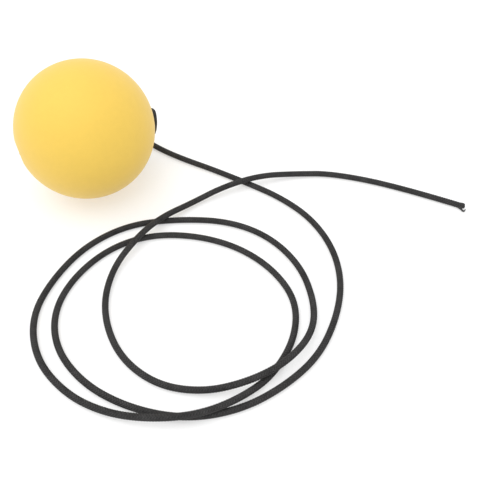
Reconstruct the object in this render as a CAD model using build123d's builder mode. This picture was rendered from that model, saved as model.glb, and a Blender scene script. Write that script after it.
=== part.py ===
"""A 63 mm ball on a thin elastic cord, laid out loose on a table, in millimetres.

+Z is up and the floor is Z = 0. The origin is the point the ball rests on, and +X is the way the
straight free end of the cord points. The cord passes through a bore in the ball and is knotted in
a round recess at each end of it, so the ball can spin on the cord between the two knots.
"""

from build123d import *
import os

# Driving dimensions, in millimetres and degrees
BALL_DIAMETER = 63.0
CORD_DIAMETER = 2.8
CORE_DIAMETER = 1.8
SHEATH_BORE_DIAMETER = 1.9
BORE_TURN = 50.0  # the bore's direction seen from above, from +X
BORE_TILT = 5.0  # how far the exit end of the bore is tipped up
RUNNING_CLEARANCE = 0.1  # all round the cord in the bore

# The recess that takes a knot at each end of the bore
RECESS_DIAMETER = 9.6
RECESS_FLOOR = 23.0  # from the ball's centre, along the bore
RECESS_ROUND = 0.8

# A knot: how far its two faces are from the ball's centre, along the bore
KNOT_INNER = 23.6
KNOT_OUTER = 30.9
KNOT_DIAMETER = 8.6
KNOT_FACE_DIAMETER = 4.4

# The cut tail of the far knot, trimmed almost flush with the ball
TAIL_DROP = 2.2  # below the bore's axis
TAIL_INNER = 28.5
TAIL_OUTER = 31.6
TAIL_ROUND = 0.4

# The free cord
CORE_BARE = 1.5  # the rubber core stands this far out of the cut sheath
ARC_SHARE = 0.45  # of the shorter run beside a corner, taken up by its arc

BALL_R = BALL_DIAMETER / 2
CORD_R = CORD_DIAMETER / 2
FLOOR = CORD_R  # height of the cord's centre where it lies on the floor

# The free cord's route, from the exit knot to its cut end. It hangs down the ball's side, makes a
# small loop on the floor beneath it, goes round three times and runs off straight. Where it passes
# over itself it rises in a long low hump.
ROUTE = [
    (18.8, 22.4, 33),
    (20.3, 25.5, 32),
    (19.4, 27.5, 26.8),
    (18.6, 28.5, 21.2),
    (17.2, 28.8, 15.2),
    (14.1, 27.6, 9.4),
    (9.6, 23.2, 4.4),
    # the small loop, tucked under the side of the ball
    (3.9, 18, FLOOR),
    (-3.2, 16.9, FLOOR),
    (-9.2, 20.7, FLOOR),
    (-11.4, 27.6, FLOOR),
    (-8.5, 34.3, FLOOR),
    (-1.8, 37.6, FLOOR),
    # first turn
    (8.3, 35.2, FLOOR),
    (19.4, 32.5, FLOOR),
    (32.2, 31.1, FLOOR),
    (48.8, 30.5, FLOOR),
    (66.8, 29, FLOOR),
    (85.8, 26.8, FLOOR),
    (104.3, 20.3, FLOOR),
    (119.8, 7.8, FLOOR),
    (130.3, -8.7, FLOOR),
    (135.1, -27.7, FLOOR),
    (135.3, -48.2, FLOOR),
    (128.8, -66.2, FLOOR),
    (117.8, -82.7, FLOOR),
    (101.3, -94.7, FLOOR),
    (81.3, -99.7, FLOOR),
    (60.3, -98.7, FLOOR),
    (41.3, -90.2, FLOOR),
    (29.3, -75.2, FLOOR),
    (26.3, -55.7, FLOOR),
    (31.3, -35.2, FLOOR),
    (44.3, -20.2, FLOOR),
    # second turn, over the first one near its lowest corner
    (63.3, -12.2, FLOOR),
    (83.3, -10.7, FLOOR),
    (102.3, -16.2, FLOOR),
    (117.3, -27.7, FLOOR),
    (123.8, -45.2, FLOOR),
    (122.6, -64.3, FLOOR),
    (116.3, -79.2, 3.4),
    (106.4, -92.5, 5.2),
    (91.3, -101.5, 4.8),
    (73.8, -105.4, 1.8),
    (55.8, -104.9, FLOOR),
    (36.8, -97.2, FLOOR),
    (22.8, -81.2, FLOOR),
    (18.8, -60.8, FLOOR),
    (20.8, -38.7, FLOOR),
    (31.3, -19.7, FLOOR),
    (49.3, -7.2, FLOOR),
    # third turn, over the second one and smaller than it
    (70.8, 1.8, FLOOR),
    (91.8, 1.3, FLOOR),
    (111.3, -8.7, FLOOR),
    (124.6, -25.4, FLOOR),
    (129.6, -41.7, 4.0),
    (126, -59, 5.6),
    (116.4, -73, 5.4),
    (101.9, -82.5, 1.8),
    (83.8, -87.2, FLOOR),
    (63.8, -81.7, FLOOR),
    (46.8, -65.7, FLOOR),
    # the free end, over the top of both outer turns and then over the first stretch
    (39.3, -46.2, 2.6),
    (40.8, -26.9, 5.2),
    (44.3, -12.1, 5.2),
    (50.8, 4.8, 2.0),
    (60.3, 18.7, 4.4),
    (72.9, 32.9, 5.0),
    (87.1, 45, 1.8),
    (103.3, 53.3, FLOOR),
    (134.8, 58, FLOOR),
    (166.3, 58, FLOOR),
]

ball_centre = Vector(0, 0, BALL_R)
bore_axis = Vector(1, 0, 0).rotate(Axis.Y, -BORE_TILT).rotate(Axis.Z, BORE_TURN)
# Local X of this plane runs along the bore, and local Y points down, square to it.
profile_plane = Plane(origin=ball_centre, x_dir=bore_axis, z_dir=Vector(0, 0, 1).cross(bore_axis))
spin_axis = Axis(ball_centre, bore_axis)


def arc_radii(points):
    """The radius of the arc at each corner of a route: as large as its two runs allow."""
    radii = []
    for before, corner, after in zip(points, points[1:], points[2:]):
        arriving = corner - before
        leaving = after - corner
        half_turn = arriving.get_angle(leaving) / 2
        shorter = min(arriving.length, leaving.length)
        radii.append(ARC_SHARE * shorter / tan_degrees(half_turn))
    return radii


def tan_degrees(angle):
    """The tangent of an angle in degrees, as the slope of a turned unit vector."""
    turned = Vector(1, 0, 0).rotate(Axis.Z, angle)
    return turned.Y / turned.X


def round_piece(outline):
    """A solid of revolution about the bore's axis, from its half outline."""
    with BuildPart() as piece:
        with BuildSketch(profile_plane):
            with BuildLine():
                Polyline(*outline, close=True)
            make_face()
        revolve(axis=spin_axis)
    return piece


# The ball: one soft moulding, turned about its bore
with BuildPart() as ball:
    bore_r = CORD_R + RUNNING_CLEARANCE
    recess_r = RECESS_DIAMETER / 2
    rim = (BALL_R**2 - recess_r**2) ** 0.5
    with BuildSketch(profile_plane):
        with BuildLine():
            Polyline(
                (-rim, recess_r),
                (-RECESS_FLOOR, recess_r),
                (-RECESS_FLOOR, bore_r),
                (RECESS_FLOOR, bore_r),
                (RECESS_FLOOR, recess_r),
                (rim, recess_r),
            )
            ThreePointArc((rim, recess_r), (0, BALL_R), (-rim, recess_r))
        face = make_face()
        recess_corners = face.vertices().group_by(SortBy.DISTANCE)[-1]
        fillet(recess_corners, radius=RECESS_ROUND)
    revolve(axis=spin_axis)
ball.part.label = "ball"

# The cord in the bore: a braided sheath round a rubber core, from knot to knot
sheath_in_bore = round_piece(
    [
        (-KNOT_INNER, SHEATH_BORE_DIAMETER / 2),
        (KNOT_INNER, SHEATH_BORE_DIAMETER / 2),
        (KNOT_INNER, CORD_R),
        (-KNOT_INNER, CORD_R),
    ]
)
sheath_in_bore.part.label = "sheath_in_bore"

core_in_bore = round_piece(
    [
        (-KNOT_INNER, 0),
        (KNOT_INNER, 0),
        (KNOT_INNER, CORE_DIAMETER / 2),
        (-KNOT_INNER, CORE_DIAMETER / 2),
    ]
)
core_in_bore.part.label = "core_in_bore"


# The two knots: the outer shape of an overhand knot, as a rounded barrel with two flat faces
def knot(side):
    """A knot seated in the recess on one side of the ball: 1 at the exit, -1 at the far end."""
    face_r = KNOT_FACE_DIAMETER / 2
    middle = (KNOT_INNER + KNOT_OUTER) / 2
    with BuildPart() as lump:
        with BuildSketch(profile_plane):
            with BuildLine():
                Polyline(
                    (side * KNOT_OUTER, face_r),
                    (side * KNOT_OUTER, 0),
                    (side * KNOT_INNER, 0),
                    (side * KNOT_INNER, face_r),
                )
                ThreePointArc(
                    (side * KNOT_INNER, face_r),
                    (side * middle, KNOT_DIAMETER / 2),
                    (side * KNOT_OUTER, face_r),
                )
            make_face()
        revolve(axis=spin_axis)
    return lump


exit_knot = knot(1)
exit_knot.part.label = "exit_knot"

end_knot = knot(-1)
end_knot.part.label = "end_knot"

# The far knot's short cut tail, under the bore's axis
tail_plane = Plane(
    origin=ball_centre - bore_axis * TAIL_INNER + profile_plane.y_dir * TAIL_DROP,
    z_dir=-bore_axis,
)
with BuildPart() as knot_tail:
    with BuildSketch(tail_plane):
        Circle(CORD_R)
    extrude(amount=TAIL_OUTER - TAIL_INNER)
    fillet(knot_tail.faces().sort_by(spin_axis)[0].edges(), radius=TAIL_ROUND)
knot_tail.part.label = "knot_tail"

# The free cord: its braided sheath, and the rubber core that fills it and stands out at the cut end
route_points = [Vector(*point) for point in ROUTE]
core_points = route_points[:-1] + [route_points[-1] + Vector(CORE_BARE, 0, 0)]
route_radii = arc_radii(route_points)
start_plane = Plane(origin=route_points[0], z_dir=route_points[1] - route_points[0])

with BuildPart() as cord_sheath:
    with BuildLine() as sheath_line:
        FilletPolyline(*route_points, radius=route_radii)
    with BuildSketch(start_plane):
        Circle(CORD_R)
        Circle(SHEATH_BORE_DIAMETER / 2, mode=Mode.SUBTRACT)
    sweep(path=sheath_line.line)
cord_sheath.part.label = "cord_sheath"

with BuildPart() as cord_core:
    with BuildLine() as core_line:
        FilletPolyline(*core_points, radius=route_radii)
    with BuildSketch(start_plane):
        Circle(CORE_DIAMETER / 2)
    sweep(path=core_line.line)
cord_core.part.label = "cord_core"

# What the cord's route comes to
sheath_section = Face(Wire.make_circle(CORD_R), [Wire.make_circle(SHEATH_BORE_DIAMETER / 2)]).area
free_length = sum(edge.length for edge in sheath_line.edges())
expected_volume = sheath_section * free_length
print("arc radii:", [round(radius, 1) for radius in route_radii])
print("smallest radius past the exit:", round(min(route_radii[1:]), 1))
print("free cord:", round(free_length, 1), "mm")
print("sheath volume over section times length:", round(cord_sheath.part.volume / expected_volume, 4))
last_run = (route_points[-1] - route_points[-2]).length
print("straight end:", round((1 - ARC_SHARE) * last_run, 2), "mm")

os.makedirs("parts", exist_ok=True)
export_step(ball.part, "parts/ball.step")
export_step(sheath_in_bore.part, "parts/sheath_in_bore.step")
export_step(core_in_bore.part, "parts/core_in_bore.step")
export_step(exit_knot.part, "parts/exit_knot.step")
export_step(end_knot.part, "parts/end_knot.step")
export_step(knot_tail.part, "parts/knot_tail.step")
export_step(cord_sheath.part, "parts/cord_sheath.step")
export_step(cord_core.part, "parts/cord_core.step")
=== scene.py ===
"""A soft yellow reflex ball on a thin elastic cord, laid loose on a table.

The scene is in metres, in the frame of the CAD model: the ball rests on the origin and the straight
free end of the cord points along +X. The sizes of the pieces are given in millimetres, and MM turns
them into metres.
"""

import math
import random

import bmesh
import bpy
from mathutils import Matrix, Vector


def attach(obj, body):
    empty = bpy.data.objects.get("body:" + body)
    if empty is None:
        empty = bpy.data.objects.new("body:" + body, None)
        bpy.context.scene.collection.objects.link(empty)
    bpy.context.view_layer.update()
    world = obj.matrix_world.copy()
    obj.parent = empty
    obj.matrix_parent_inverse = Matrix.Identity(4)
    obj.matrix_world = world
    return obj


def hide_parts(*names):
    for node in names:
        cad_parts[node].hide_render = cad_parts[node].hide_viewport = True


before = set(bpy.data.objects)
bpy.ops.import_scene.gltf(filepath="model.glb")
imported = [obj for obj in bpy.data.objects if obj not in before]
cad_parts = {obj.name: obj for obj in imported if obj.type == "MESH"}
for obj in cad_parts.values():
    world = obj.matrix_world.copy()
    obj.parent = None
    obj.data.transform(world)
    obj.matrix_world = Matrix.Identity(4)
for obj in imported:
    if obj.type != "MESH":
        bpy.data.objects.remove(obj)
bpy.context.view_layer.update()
MM = 0.001


# ---- Free cord: its line ----
# A limp round elastic cord, 2.8 mm thick. It hangs down the side of the ball, makes a small loop on
# the table beside it, goes round in three loose turns that cross over each other, and runs off to a
# bare cut end.
CORD_DIAMETER = 2.8
FLOOR = CORD_DIAMETER / 2  # height of the cord's centre where it lies on the table
LINE_STEP = 1.0  # between the points read from the cord's smooth line
CORD_ROUTE = [
    (18.8, 22.4, 33),
    (20.3, 25.5, 32),
    (19.4, 27.5, 26.8),
    (18.6, 28.5, 21.2),
    (17.2, 28.8, 15.2),
    (14.1, 27.6, 9.4),
    (9.6, 23.2, 4.4),
    # the small loop, tucked under the side of the ball
    (3.9, 18, FLOOR),
    (-3.2, 16.9, FLOOR),
    (-9.2, 20.7, FLOOR),
    (-11.4, 27.6, FLOOR),
    (-8.5, 34.3, FLOOR),
    (-1.8, 37.6, FLOOR),
    # first turn
    (8.3, 35.2, FLOOR),
    (19.4, 32.5, FLOOR),
    (32.2, 31.1, FLOOR),
    (48.8, 30.5, FLOOR),
    (66.8, 29, FLOOR),
    (85.8, 26.8, FLOOR),
    (104.3, 20.3, FLOOR),
    (119.8, 7.8, FLOOR),
    (130.3, -8.7, FLOOR),
    (135.1, -27.7, FLOOR),
    (135.3, -48.2, FLOOR),
    (128.8, -66.2, FLOOR),
    (117.8, -82.7, FLOOR),
    (101.3, -94.7, FLOOR),
    (81.3, -99.7, FLOOR),
    (60.3, -98.7, FLOOR),
    (41.3, -90.2, FLOOR),
    (29.3, -75.2, FLOOR),
    (26.3, -55.7, FLOOR),
    (31.3, -35.2, FLOOR),
    (44.3, -20.2, FLOOR),
    # second turn, over the first one near its lowest corner
    (63.3, -12.2, FLOOR),
    (83.3, -10.7, FLOOR),
    (102.3, -16.2, FLOOR),
    (117.3, -27.7, FLOOR),
    (123.8, -45.2, FLOOR),
    (122.6, -64.3, FLOOR),
    (116.3, -79.2, 3.4),
    (106.4, -92.5, 5.2),
    (91.3, -101.5, 4.8),
    (73.8, -105.4, 1.8),
    (55.8, -104.9, FLOOR),
    (36.8, -97.2, FLOOR),
    (22.8, -81.2, FLOOR),
    (18.8, -60.8, FLOOR),
    (20.8, -38.7, FLOOR),
    (31.3, -19.7, FLOOR),
    (49.3, -7.2, FLOOR),
    # third turn, over the second one and smaller than it
    (70.8, 1.8, FLOOR),
    (91.8, 1.3, FLOOR),
    (111.3, -8.7, FLOOR),
    (124.6, -25.4, FLOOR),
    (129.6, -41.7, 4.0),
    (126, -59, 5.6),
    (116.4, -73, 5.4),
    (101.9, -82.5, 1.8),
    (83.8, -87.2, FLOOR),
    (63.8, -81.7, FLOOR),
    (46.8, -65.7, FLOOR),
    # the free end, over the top of both outer turns and then over the first stretch
    (39.3, -46.2, 2.6),
    (40.8, -26.9, 5.2),
    (44.3, -12.1, 5.2),
    (50.8, 4.8, 2.0),
    (60.3, 18.7, 4.4),
    (72.9, 32.9, 5.0),
    (87.1, 45, 1.8),
    (103.3, 53.3, FLOOR),
    (134.8, 58, FLOOR),
    (166.3, 58, FLOOR),
]


def line_of(name, points, resolution=48):
    """Points along the smooth NURBS spline that has these control points."""
    curve = bpy.data.curves.new(name, "CURVE")
    curve.dimensions = "3D"
    spline = curve.splines.new("NURBS")
    spline.points.add(len(points) - 1)
    for target, point in zip(spline.points, points):
        target.co = (*point, 1)
    spline.order_u = 3
    spline.use_endpoint_u = True
    curve.resolution_u = resolution
    holder = bpy.data.objects.new(name, curve)
    bpy.context.scene.collection.objects.link(holder)
    bpy.context.view_layer.update()
    mesh = bpy.data.meshes.new_from_object(holder)
    line = [vertex.co.copy() for vertex in mesh.vertices]
    bpy.data.objects.remove(holder)
    bpy.data.curves.remove(curve)
    bpy.data.meshes.remove(mesh)
    return line


def lengths_along(line):
    """How far along the line each of its points is."""
    lengths = [0.0]
    for here, there in zip(line, line[1:]):
        lengths.append(lengths[-1] + (there - here).length)
    return lengths


def evenly(line, step):
    """The line again, with its points at even distances of about this step."""
    lengths = lengths_along(line)
    count = max(2, round(lengths[-1] / step))
    spaced = []
    at = 0
    for number in range(count + 1):
        wanted = lengths[-1] * number / count
        while at < len(line) - 2 and lengths[at + 1] < wanted:
            at += 1
        share = (wanted - lengths[at]) / (lengths[at + 1] - lengths[at])
        spaced.append(line[at].lerp(line[at + 1], share))
    return spaced


def frames_along(points):
    """A frame at each point, across the line, carried along without twisting."""
    frames = []
    side = None
    for number, point in enumerate(points):
        before = points[max(number - 1, 0)]
        after = points[min(number + 1, len(points) - 1)]
        ahead = (after - before).normalized()
        if side is None:
            side = ahead.orthogonal().normalized()
        side = (side - ahead * side.dot(ahead)).normalized()
        frames.append((point, side, ahead.cross(side)))
    return frames


route_points = [Vector(point) * MM for point in CORD_ROUTE]
cord_spline = line_of("cord_line", route_points)
cord_line = evenly(cord_spline, LINE_STEP * MM)


# ---- Camera ----
# Looks down on the ball and its cord from in front, to the right of the ball, at about 47 degrees
# below level.
camera_data = bpy.data.cameras.new("camera")
camera_data.lens = 52.5
camera_data.sensor_width = 36
camera_data.clip_start = 0.01
camera = bpy.data.objects.new("camera", camera_data)
camera.location = (0.1727, -0.1984, 0.232)
camera.rotation_euler = (math.radians(42.685), 0, math.radians(25.5))
bpy.context.scene.collection.objects.link(camera)
bpy.context.scene.camera = camera


# ---- Free cord: its braided sheath ----
# Eight yarns wound one way and eight the other, each over two and under two, round the rubber
# core. The mesh has a corner at each crossing, halfway between crossings and in each gap, so the
# yarns stand up as they do on the real braid.
YARNS_EACH_WAY = 8
AROUND = 2 * YARNS_EACH_WAY
SHEATH_RADIUS = 1.34
YARN_RISE = 0.10  # how far a yarn rises over, or dips under, the ones that it crosses
YARN_GROOVE = 0.20  # depth of the gap between two yarns
BRAID_LAY = 8.6  # along the cord, for one whole turn of a yarn
RING_STEP = BRAID_LAY / (4 * YARNS_EACH_WAY)
WELD_DISTANCE = 0.002  # points of the mesh closer than this become one
FILAMENTS_PER_TURN = 72
FILAMENT_WAVER = 9.0  # how far the filaments stray, in radians of the sine that draws them
FILAMENT_SHADES = (0.75, 1.25)  # from the gap between two filaments to the crown of one
# Painted shade on the braid's colour: darker in the gaps between the yarns, lighter on their
# crowns.
YARN_PAINTED_SHADE = (0.1, 1.6)  # from the gap between two yarns to the crown of one
BRAID_BLACK = (0.037, 0.036, 0.036)
BRAID_ROUGHNESS = 0.7
FINE_CLOUDS = 7.3  # how much smaller the fine clouds of a mottled finish are than the broad ones


def braid_height(column, row):
    """(how far the surface stands out, whether the yarn on top runs along the column)."""
    weave = YARN_RISE * math.cos(math.tau * (column + row / 2 - 0.5) / 4)
    along = weave - YARN_GROOVE * (column % 2)
    across = -weave - YARN_GROOVE * ((column + row) % 2)
    return max(along, across), along >= across


def new_piece(name, bm, material, smooth=True):
    """An object at the origin with this mesh and material."""
    mesh = bpy.data.meshes.new(name)
    bm.to_mesh(mesh)
    bm.free()
    mesh.polygons.foreach_set("use_smooth", [smooth] * len(mesh.polygons))
    mesh.materials.append(material)
    piece = bpy.data.objects.new(name, mesh)
    bpy.context.scene.collection.objects.link(piece)
    return piece


def braided_tube(name, line, material, size=lambda share: 1.0):
    """A braided cord along a line, with its own UV map, one unit to a turn of the surface."""
    points = evenly(line, RING_STEP * MM)
    rows = len(points) - 1
    frames = frames_along(points)
    bm = bmesh.new()
    uv_map = bm.loops.layers.uv.new("braid")
    on_top = bm.verts.layers.float.new("on_top")
    relief = bm.verts.layers.float.new("relief")
    bmesh.ops.create_grid(bm, x_segments=AROUND, y_segments=rows, size=1)
    places = {}
    for vertex in bm.verts:
        column = round((vertex.co.x + 1) / 2 * AROUND)
        row = round((vertex.co.y + 1) / 2 * rows)
        places[vertex] = (column, row)
    for face in bm.faces:
        for loop in face.loops:
            column, row = places[loop.vert]
            loop[uv_map].uv = ((column + row / 2) / AROUND, row / AROUND / 2)
    for vertex, (column, row) in places.items():
        point, side, up = frames[row]
        height, along = braid_height(column, row)
        reach = (SHEATH_RADIUS + height) * size(row / rows) * MM
        angle = math.tau * (column + row / 2) / AROUND
        vertex.co = point + (side * math.cos(angle) + up * math.sin(angle)) * reach
        vertex[on_top] = float(along)
        # The yarn's height, which also sets the painted shade of the braid's colour.
        vertex[relief] = (height + YARN_GROOVE) / (YARN_RISE + YARN_GROOVE)
    bmesh.ops.triangulate(bm, faces=bm.faces[:], quad_method="ALTERNATE")
    bmesh.ops.remove_doubles(bm, verts=bm.verts[:], dist=WELD_DISTANCE * MM)
    rims = [edge for edge in bm.edges if edge.is_boundary]
    bmesh.ops.holes_fill(bm, edges=rims, sides=AROUND)
    bmesh.ops.recalc_face_normals(bm, faces=bm.faces[:])
    return new_piece(name, bm, material)


class Shader:
    """A material's nodes, added one at a time and joined by name."""

    def __init__(self, name):
        self.material = bpy.data.materials.new(name)
        self.material.use_nodes = True
        self.tree = self.material.node_tree
        self.surface = self.tree.nodes["Principled BSDF"]

    def add(self, kind, settings=None, **inputs):
        """A new node, with its properties set and its inputs filled or linked."""
        return add_node(self.tree, kind, settings, **inputs)

    def feed(self, **sockets):
        """Links or sets inputs of the surface shader."""
        fill(self.tree, self.surface, sockets)


def fill(tree, node, inputs):
    """Sets or links a node's inputs. A name such as in_0 picks an input by its number."""
    for name, value in inputs.items():
        number = int(name[3:]) if name.startswith("in_") else None
        socket = node.inputs[name.replace("_", " ") if number is None else number]
        if isinstance(value, bpy.types.NodeSocket):
            tree.links.new(value, socket)
        else:
            socket.default_value = value


def add_node(tree, kind, settings=None, **inputs):
    """A new node in a tree, with its properties set and its inputs filled or linked."""
    node = tree.nodes.new("ShaderNode" + kind)
    for name, value in (settings or {}).items():
        setattr(node, name, value)
    fill(tree, node, inputs)
    return node


def mottle_group():
    """Soft cloudy variation round 1, at a broad and a fine scale, for any finish."""
    tree = bpy.data.node_groups.new("mottle", "ShaderNodeTree")
    for name, kind, start in (
        ("Vector", "NodeSocketVector", None),
        ("Scale", "NodeSocketFloat", 100.0),
        ("Amount", "NodeSocketFloat", 0.1),
    ):
        socket = tree.interface.new_socket(name, in_out="INPUT", socket_type=kind)
        if start is not None:
            socket.default_value = start
    tree.interface.new_socket("Value", in_out="OUTPUT", socket_type="NodeSocketFloat")
    ends_in = tree.nodes.new("NodeGroupInput")
    ends_out = tree.nodes.new("NodeGroupOutput")
    vector, scale, amount = (ends_in.outputs[name] for name in ("Vector", "Scale", "Amount"))
    broad = add_node(tree, "TexNoise", Vector=vector, Scale=scale, Detail=4.0, Roughness=0.6)
    finer = add_node(tree, "Math", {"operation": "MULTIPLY"}, in_0=scale, in_1=FINE_CLOUDS)
    fine = add_node(tree, "TexNoise", Vector=vector, Scale=finer.outputs[0], Detail=2.0)
    both = add_node(
        tree, "Math", {"operation": "ADD"}, in_0=broad.outputs["Fac"], in_1=fine.outputs["Fac"]
    )
    centred = add_node(tree, "Math", {"operation": "SUBTRACT"}, in_0=both.outputs[0], in_1=1.0)
    result = add_node(
        tree, "Math", {"operation": "MULTIPLY_ADD"}, in_0=centred.outputs[0], in_1=amount, in_2=1.0
    )
    tree.links.new(result.outputs[0], ends_out.inputs["Value"])
    return tree


mottle = mottle_group()


def mottled(shader, vector, scale, amount):
    """The mottle group's value in a material, with its own scale and amount."""
    node = shader.add("Group", {"node_tree": mottle}, Vector=vector, Scale=scale, Amount=amount)
    return node.outputs["Value"]


def braid_finish():
    """Matte black textile yarn, each yarn a bundle of fine filaments laid along it."""
    shader = Shader("black_braid")
    uv = shader.add("UVMap", {"uv_map": "braid"}).outputs["UV"]
    split = shader.add("SeparateXYZ", Vector=uv)
    around, along = split.outputs["X"], split.outputs["Y"]
    turn = math.tau * FILAMENTS_PER_TURN
    # The filaments follow whichever of the two crossing yarns is on top.
    across_one = shader.add("Math", {"operation": "SUBTRACT"}, in_0=around, in_1=along)
    across_other = shader.add("Math", {"operation": "ADD"}, in_0=around, in_1=along)
    on_top = shader.add("Attribute", {"attribute_name": "on_top"}).outputs["Fac"]
    top = shader.add("Math", {"operation": "GREATER_THAN"}, in_0=on_top, in_1=0.5)
    across = shader.add(
        "Mix",
        {"data_type": "FLOAT"},
        in_0=top.outputs[0],
        in_2=across_other.outputs[0],
        in_3=across_one.outputs[0],
    )
    place = shader.add("TexCoord").outputs["Object"]
    waver = shader.add("TexNoise", Vector=place, Scale=2500.0, Detail=2.0)
    phase = shader.add("Math", {"operation": "MULTIPLY"}, in_0=across.outputs[0], in_1=turn)
    wavering = shader.add(
        "Math",
        {"operation": "MULTIPLY_ADD"},
        in_0=waver.outputs["Fac"],
        in_1=FILAMENT_WAVER,
        in_2=phase.outputs[0],
    )
    filament = shader.add("Math", {"operation": "SINE"}, in_0=wavering.outputs[0])
    shade = mottled(shader, place, 160.0, 1.6)
    thread = shader.add("MapRange", Value=filament.outputs[0])
    thread.inputs["From Min"].default_value = -1.0
    thread.inputs["To Min"].default_value = FILAMENT_SHADES[0]
    thread.inputs["To Max"].default_value = FILAMENT_SHADES[1]
    level = shader.add(
        "Math", {"operation": "MULTIPLY"}, in_0=thread.outputs["Result"], in_1=shade
    )
    # Painted shade: the braid's colour is darkened in the gaps between the yarns, where light is
    # lost, and lightened on their crowns.
    depth = shader.add("Attribute", {"attribute_name": "relief"}).outputs["Fac"]
    painted_gap_shade = shader.add("MapRange", Value=depth)
    painted_gap_shade.inputs["To Min"].default_value = YARN_PAINTED_SHADE[0]
    painted_gap_shade.inputs["To Max"].default_value = YARN_PAINTED_SHADE[1]
    shaded = shader.add(
        "Math", {"operation": "MULTIPLY"}, in_0=level.outputs[0], in_1=painted_gap_shade.outputs["Result"]
    )
    colour = shader.add(
        "VectorMath", {"operation": "SCALE"}, in_0=BRAID_BLACK, Scale=shaded.outputs[0]
    )
    bump = shader.add("Bump", Height=filament.outputs[0], Strength=0.5, Distance=0.00002)
    rough = shader.add("Math", {"operation": "MULTIPLY"}, in_0=shade, in_1=BRAID_ROUGHNESS)
    shader.feed(
        Base_Color=colour.outputs[0], Roughness=rough.outputs[0], Normal=bump.outputs["Normal"]
    )
    shader.surface.inputs["Specular IOR Level"].default_value = 0.15
    return shader.material


black_braid = braid_finish()

sheath = braided_tube("cord_braided_sheath", cord_line, black_braid)
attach(sheath, "cord")
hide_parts("cord_sheath")


# ---- Free cord: its rubber core and the frayed cut ----
# The cord was cut straight off and not sealed. Its core, a bundle of fine rubber threads, stands a
# little out of the sheath, and a few of the sheath's yarns have come loose together and curl back.
CORE_RADIUS = 0.76  # the round middle of the core, the whole way along the cord
CORE_STEP = 2.2  # along the core, from one ring of its mesh to the next
CORE_BLACK = (0.038, 0.036, 0.035)
TUBE_SIDES = 8
BUNDLE_RADIUS = 0.95  # the threads seen at the cut lie within this
BUNDLE_ROWS = 3  # rows of threads on each side of the middle one
THREAD_RADIUS = 0.17
THREAD_PITCH = 0.32
THREAD_ROOT = 1.5  # how far inside the sheath a thread begins
THREAD_REACH = 0.95  # how far the middle thread stands out of the sheath
REACH_FALL = 0.5  # how much less a thread stands out, for each millimetre off the middle
REACH_UNEVEN = 0.12
SPREAD_UNEVEN = 0.12
cut_end = route_points[-1]


def swept_tube(bm, line, radius):
    """Adds a round tube with closed ends along a line; radius gives its size along the way."""
    frames = frames_along(line)
    rings = []
    for number, (point, side, up) in enumerate(frames):
        ahead = side.cross(up)
        turned = Matrix((side, up, ahead)).transposed().to_4x4()
        ring = bmesh.ops.create_circle(
            bm,
            segments=TUBE_SIDES,
            radius=radius(number / (len(frames) - 1)) * MM,
            matrix=Matrix.Translation(point) @ turned,
        )["verts"]
        edges = {edge for vertex in ring for edge in vertex.link_edges}
        if rings:
            bmesh.ops.bridge_loops(bm, edges=list(rings[-1] | edges))
        rings.append(edges)
    bmesh.ops.holes_fill(bm, edges=list(rings[0] | rings[-1]), sides=TUBE_SIDES)


def rubber_finish():
    """Dull dark latex, a little powdery."""
    shader = Shader("core_rubber")
    place = shader.add("TexCoord").outputs["Object"]
    shade = mottled(shader, place, 900.0, 0.6)
    colour = shader.add("VectorMath", {"operation": "SCALE"}, in_0=CORE_BLACK, Scale=shade)
    rough = shader.add("Math", {"operation": "MULTIPLY"}, in_0=shade, in_1=0.7)
    shader.feed(Base_Color=colour.outputs[0], Roughness=rough.outputs[0])
    return shader.material


core_rubber = rubber_finish()

core_bm = bmesh.new()
swept_tube(core_bm, evenly(cord_line, CORE_STEP * MM), lambda share: CORE_RADIUS)
draw = random.Random(7)
for column in range(-BUNDLE_ROWS, BUNDLE_ROWS + 1):
    for row in range(-BUNDLE_ROWS, BUNDLE_ROWS + 1):
        offset_y = (column + row / 2) * THREAD_PITCH
        offset_z = row * THREAD_PITCH * math.sin(math.tau / 6)
        off_axis = math.hypot(offset_y, offset_z)
        if off_axis > BUNDLE_RADIUS:
            continue
        spread = 1 + draw.uniform(0.0, SPREAD_UNEVEN)
        uneven = draw.uniform(-REACH_UNEVEN, REACH_UNEVEN)
        reach = THREAD_REACH - REACH_FALL * off_axis + uneven
        start = cut_end + Vector((-THREAD_ROOT, offset_y, offset_z)) * MM
        middle = cut_end + Vector((reach / 2, offset_y, offset_z)) * MM
        tip = cut_end + Vector((reach, offset_y * spread, offset_z * spread)) * MM
        thread_line = line_of("thread", [start, middle, tip], 3)
        swept_tube(core_bm, thread_line, lambda share: THREAD_RADIUS)
bmesh.ops.recalc_face_normals(core_bm, faces=core_bm.faces[:])
core = new_piece("cord_rubber_core", core_bm, core_rubber)
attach(core, "cord")
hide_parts("cord_core")

# Each loose bundle of yarns: its line from the cut end, and how many yarns it holds.
LOOSE_YARN_RADIUS = 0.26
YARN_TAPER = (1.1, 0.8)  # a loose yarn's size at its root and at its tip
YARN_SPACING = 0.3
YARN_CLOSING = 0.1  # each yarn of a bundle lies this share nearer the middle than the last
LOOSE_BUNDLES = [
    ([(-2.8, -0.8, -0.4), (-1.4, -1.2, -0.5), (-0.2, -1.8, -0.65), (0.7, -2.3, -0.8),
      (1.2, -2.2, -0.75), (1.35, -1.7, -0.65), (1.5, -1.3, -0.5)], 4),
    ([(-1.4, -1.1, 0.3), (-0.7, -1.2, 0.4), (0.0, -1.2, 0.4), (0.35, -1.1, 0.3)], 2),
    ([(-1.2, 1.1, 0.2), (-0.5, 1.2, 0.25), (0.1, 1.15, 0.3), (0.4, 0.9, 0.3)], 2),
    ([(-1.2, 0.3, 1.1), (-0.5, 0.3, 1.2), (0.1, 0.3, 1.15), (0.5, 0.2, 0.9)], 2),
]


def yarn_radius(share):
    """A loose yarn's radius at this share of its length, thinning towards the tip."""
    root, tip = YARN_TAPER
    return LOOSE_YARN_RADIUS * (root + (tip - root) * share)


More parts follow.
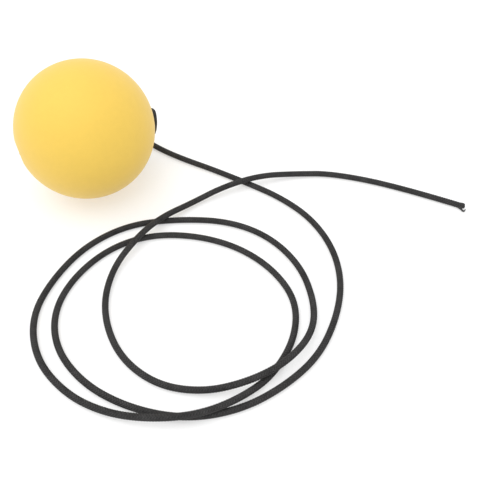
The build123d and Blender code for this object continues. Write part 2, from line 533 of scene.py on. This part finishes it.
yarn_bm = bmesh.new()
for bundle, yarns in LOOSE_BUNDLES:
    for yarn in range(yarns):
        turn = math.tau * yarn / yarns
        closeness = 1 - YARN_CLOSING * yarn
        beside = Vector((0, math.cos(turn), math.sin(turn))) * YARN_SPACING * closeness
        points = [cut_end + (Vector(point) + beside) * MM for point in bundle]
        swept_tube(yarn_bm, line_of("yarn", points, 6), yarn_radius)
bmesh.ops.recalc_face_normals(yarn_bm, faces=yarn_bm.faces[:])


def yarn_finish():
    """The sheath's black yarn where it has come loose."""
    shader = Shader("loose_yarn")
    place = shader.add("TexCoord").outputs["Object"]
    shade = mottled(shader, place, 2200.0, 0.9)
    colour = shader.add("VectorMath", {"operation": "SCALE"}, in_0=BRAID_BLACK, Scale=shade)
    bump = shader.add("Bump", Height=shade, Strength=0.4, Distance=0.00004)
    shader.feed(Base_Color=colour.outputs[0], Normal=bump.outputs["Normal"])
    shader.surface.inputs["Roughness"].default_value = BRAID_ROUGHNESS
    return shader.material


loose_yarn = yarn_finish()
loose_yarns = new_piece("cord_loose_yarns", yarn_bm, loose_yarn)
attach(loose_yarns, "cord")


# ---- Knots ----
# An overhand knot at each end of the bore, in the same cord pulled tight and thin. Each sits in a
# recess and keeps the ball from sliding along the cord. The far one's tail is trimmed almost flush.
BALL_RADIUS = 31.5
BORE_TURN = math.radians(50)
BORE_TILT = math.radians(5)
KNOT_MIDDLE = 27.2  # from the ball's centre, along the bore
KNOT_UNIT = 2.2  # the pulled cord's diameter
KNOT_CORD = 0.80  # how much of its full thickness the pulled cord keeps
KNOT_FULL_AT = 0.86  # share of the knot's line after which the cord grows back to full
TAIL_PLACES = [(29.4, 1.9), (31.0, 2.1)]  # the far knot's tail: out along the bore, and down
ball_centre = Vector((0, 0, BALL_RADIUS)) * MM
bore = Vector(
    (
        math.cos(BORE_TILT) * math.cos(BORE_TURN),
        math.cos(BORE_TILT) * math.sin(BORE_TURN),
        math.sin(BORE_TILT),
    )
)
# Half of an overhand knot, from its middle to where the cord leaves it, in cord diameters, with z
# pointing out of the recess. The other half is the same turned half round. The cord comes to it
# out of the bore through the two points of KNOT_START.
KNOT_START = [(0, 0, -1.95), (0.1, 0.2, -1.3)]
KNOT_HALF = [
    (1.42, 0, 0),
    (1.1, 1.15, -0.22),
    (-0.05, 1.65, -0.5),
    (-1.3, 1.0, -0.85),
    (-1.3, -0.4, -1.05),
    (-0.4, -0.9, -0.95),
    (0.12, -0.62, -0.3),
    (0.2, -0.5, 0.4),
]


def knot_line(outward, down, last_points):
    """The cord's line through a knot seated in the recess that opens outward."""
    middle = ball_centre + outward * KNOT_MIDDLE * MM
    side = down.cross(outward)
    inner_half = [(x, -y, -z) for x, y, z in reversed(KNOT_HALF[1:])]
    points = []
    for x, y, z in KNOT_START + inner_half + KNOT_HALF:
        points.append(middle + (side * x - down * y + outward * z) * KNOT_UNIT * MM)
    return line_of("knot_line", points + last_points, 24)


def knot_size(share):
    """The cord's size at this share of a knot's line: pulled thin, then growing back to full."""
    grown = max(0, (share - KNOT_FULL_AT) / (1 - KNOT_FULL_AT))
    return KNOT_CORD + (1 - KNOT_CORD) * grown


down = (bore * bore.z - Vector((0, 0, 1))).normalized()
exit_line = knot_line(bore, down, [cord_line[0]])
exit_knot = braided_tube("exit_knot_tied", exit_line, black_braid, knot_size)
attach(exit_knot, "cord")
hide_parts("exit_knot")

tail_points = [ball_centre + (down * drop - bore * out) * MM for out, drop in TAIL_PLACES]
end_line = knot_line(-bore, down, tail_points)
end_knot = braided_tube("end_knot_tied", end_line, black_braid, knot_size)
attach(end_knot, "cord")
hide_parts("end_knot", "knot_tail")

# The straight stretch of cord in the bore, between the knots, keeps its plain shape.
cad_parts["sheath_in_bore"].material_slots[0].material = loose_yarn
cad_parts["core_in_bore"].material_slots[0].material = core_rubber


# ---- Ball ----
# One soft foam-rubber moulding with a smooth matte skin, bored through for the cord, with a round
# recess for a knot at each end of the bore. It is turned about the bore, and spins on the cord.
RECESS_RADIUS = 4.8
RECESS_FLOOR = 23.0  # from the ball's centre, along the bore
BORE_RADIUS = 1.5
RIM_ROUND = 0.8
SKIN_STEPS = 45  # from the ball's waist to a rim
RIM_STEPS = 6
TURN_STEPS = 160
SEAM_DISTANCE = 0.001  # closes the seam where the full turn meets its start
BALL_YELLOW = (0.79, 0.53, 0.086)
BALL_ROUGHNESS = 0.62
RUB_BROWN = (0.25, 0.17, 0.05, 1)
RUB_STRENGTH = 0.35  # at the rim of a recess
RUB_FROM = 4.6  # from the bore's axis, where a rub mark is strongest
RUB_TO = 6.6  # and where it has faded out


def ball_outline():
    """Half of the ball's section, as (along the bore, out from it), from the middle outwards."""
    # The rim's round touches the recess wall and the ball's surface from inside.
    round_out = RECESS_RADIUS + RIM_ROUND
    round_along = math.sqrt((BALL_RADIUS - RIM_ROUND) ** 2 - round_out**2)
    touch = math.atan2(round_out, round_along)
    outline = []
    for step in range(SKIN_STEPS + 1):
        angle = math.pi / 2 + (touch - math.pi / 2) * step / SKIN_STEPS
        outline.append((BALL_RADIUS * math.cos(angle), BALL_RADIUS * math.sin(angle)))
    for step in range(1, RIM_STEPS + 1):
        angle = touch + (-math.pi - touch) * step / RIM_STEPS
        outline.append(
            (round_along + RIM_ROUND * math.cos(angle), round_out + RIM_ROUND * math.sin(angle))
        )
    for step in range(1, RIM_STEPS + 1):
        along = round_along + (RECESS_FLOOR - round_along) * step / RIM_STEPS
        outline.append((along, RECESS_RADIUS))
    outline.append((RECESS_FLOOR, BORE_RADIUS))
    outline.append((0, BORE_RADIUS))
    return outline


ball_bm = bmesh.new()
half = ball_outline()
outline = half + [(-along, out) for along, out in reversed(half[1:-1])]
rim_loop = [ball_bm.verts.new((out * MM, 0, along * MM)) for along, out in outline]
profile = [
    ball_bm.edges.new((here, there)) for here, there in zip(rim_loop, rim_loop[1:] + rim_loop[:1])
]
bmesh.ops.spin(
    ball_bm,
    geom=rim_loop + profile,
    cent=(0, 0, 0),
    axis=(0, 0, 1),
    angle=math.tau,
    steps=TURN_STEPS,
    use_merge=True,
)
bmesh.ops.remove_doubles(ball_bm, verts=ball_bm.verts[:], dist=SEAM_DISTANCE * MM)
bmesh.ops.recalc_face_normals(ball_bm, faces=ball_bm.faces[:])
along_bore = bore.to_track_quat("Z", "Y").to_matrix().to_4x4()
ball_place = Matrix.Translation(ball_centre) @ along_bore
bmesh.ops.transform(ball_bm, matrix=ball_place, verts=ball_bm.verts[:])


def ball_finish():
    """Matte yellow foam skin: very fine pores, faint clouding, and dark rub marks at the mouths."""
    shader = Shader("yellow_foam_skin")
    place = shader.add("TexCoord").outputs["Object"]
    cloud = mottled(shader, place, 55.0, 0.05)
    pores = shader.add("TexVoronoi", Vector=place, Scale=1500.0)
    grain = shader.add("TexNoise", Vector=place, Scale=900.0, Detail=3.0)
    height = shader.add(
        "Math",
        {"operation": "MULTIPLY_ADD"},
        in_0=pores.outputs["Distance"],
        in_1=0.5,
        in_2=grain.outputs["Fac"],
    )
    from_centre = shader.add("VectorMath", {"operation": "SUBTRACT"}, in_0=place, in_1=ball_centre)
    crossed = shader.add(
        "VectorMath", {"operation": "CROSS_PRODUCT"}, in_0=from_centre.outputs[0], in_1=bore
    )
    off_axis = shader.add("VectorMath", {"operation": "LENGTH"}, in_0=crossed.outputs[0])
    rubbed = shader.add("MapRange", Value=off_axis.outputs["Value"])
    rubbed.inputs["From Min"].default_value = RUB_FROM * MM
    rubbed.inputs["From Max"].default_value = RUB_TO * MM
    rubbed.inputs["To Min"].default_value = RUB_STRENGTH
    rubbed.inputs["To Max"].default_value = 0.0
    smudge = shader.add("TexNoise", Vector=place, Scale=420.0, Detail=3.0)
    dirt = shader.add(
        "Math",
        {"operation": "MULTIPLY"},
        in_0=rubbed.outputs["Result"],
        in_1=smudge.outputs["Fac"],
    )
    clean = shader.add("VectorMath", {"operation": "SCALE"}, in_0=BALL_YELLOW, Scale=cloud)
    colour = shader.add(
        "Mix",
        {"data_type": "RGBA"},
        in_0=dirt.outputs[0],
        in_6=clean.outputs[0],
        in_7=RUB_BROWN,
    )
    bump = shader.add("Bump", Height=height.outputs[0], Strength=0.35, Distance=0.00005)
    rough = shader.add("Math", {"operation": "MULTIPLY"}, in_0=cloud, in_1=BALL_ROUGHNESS)
    shader.feed(
        Base_Color=colour.outputs[2], Roughness=rough.outputs[0], Normal=bump.outputs["Normal"]
    )
    shader.surface.inputs["Sheen Weight"].default_value = 0.2
    shader.surface.inputs["Sheen Roughness"].default_value = 0.5
    shader.surface.inputs["Specular IOR Level"].default_value = 0.35
    return shader.material


ball = new_piece("foam_ball", ball_bm, ball_finish())
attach(ball, "ball")
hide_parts("ball")


# ---- Studio ----
# A plain white table that glows faintly, in a white room with even light, and one large soft lamp
# high up in front, to the left of the ball.
TABLE_HALF_WIDTH = 3.0
TABLE_WHITE = (0.55, 0.55, 0.55)
TABLE_GLOW = 0.45
ROOM_LIGHT = 0.94
floor_bm = bmesh.new()
bmesh.ops.create_grid(floor_bm, x_segments=1, y_segments=1, size=TABLE_HALF_WIDTH)


def table_finish():
    """White acrylic, softly lit from below, so that shadows on it stay pale."""
    shader = Shader("white_table")
    place = shader.add("TexCoord").outputs["Object"]
    shade = mottled(shader, place, 30.0, 0.004)
    colour = shader.add("VectorMath", {"operation": "SCALE"}, in_0=TABLE_WHITE, Scale=shade)
    shader.feed(Base_Color=colour.outputs[0])
    shader.surface.inputs["Roughness"].default_value = 0.9
    shader.surface.inputs["Emission Color"].default_value = (1, 1, 1, 1)
    shader.surface.inputs["Emission Strength"].default_value = TABLE_GLOW
    return shader.material


table = new_piece("table", floor_bm, table_finish(), smooth=False)


def soft_lamp(name, place, aim, size, watts):
    """A large square lamp at a place, turned to face a point."""
    data = bpy.data.lights.new(name, "AREA")
    data.size = size
    data.energy = watts
    lamp = bpy.data.objects.new(name, data)
    lamp.location = place
    lamp.rotation_euler = (Vector(aim) - Vector(place)).to_track_quat("-Z", "Y").to_euler()
    bpy.context.scene.collection.objects.link(lamp)


soft_lamp("key_lamp", place=(-0.15, -0.3, 1.2), aim=(0.03, 0, 0), size=1.4, watts=9)
world = bpy.data.worlds.new("white_room")
world.use_nodes = True
world.node_tree.nodes["Background"].inputs["Color"].default_value = (1, 1, 1, 1)
world.node_tree.nodes["Background"].inputs["Strength"].default_value = ROOM_LIGHT
bpy.context.scene.world = world
bpy.context.scene.view_settings.view_transform = "Standard"
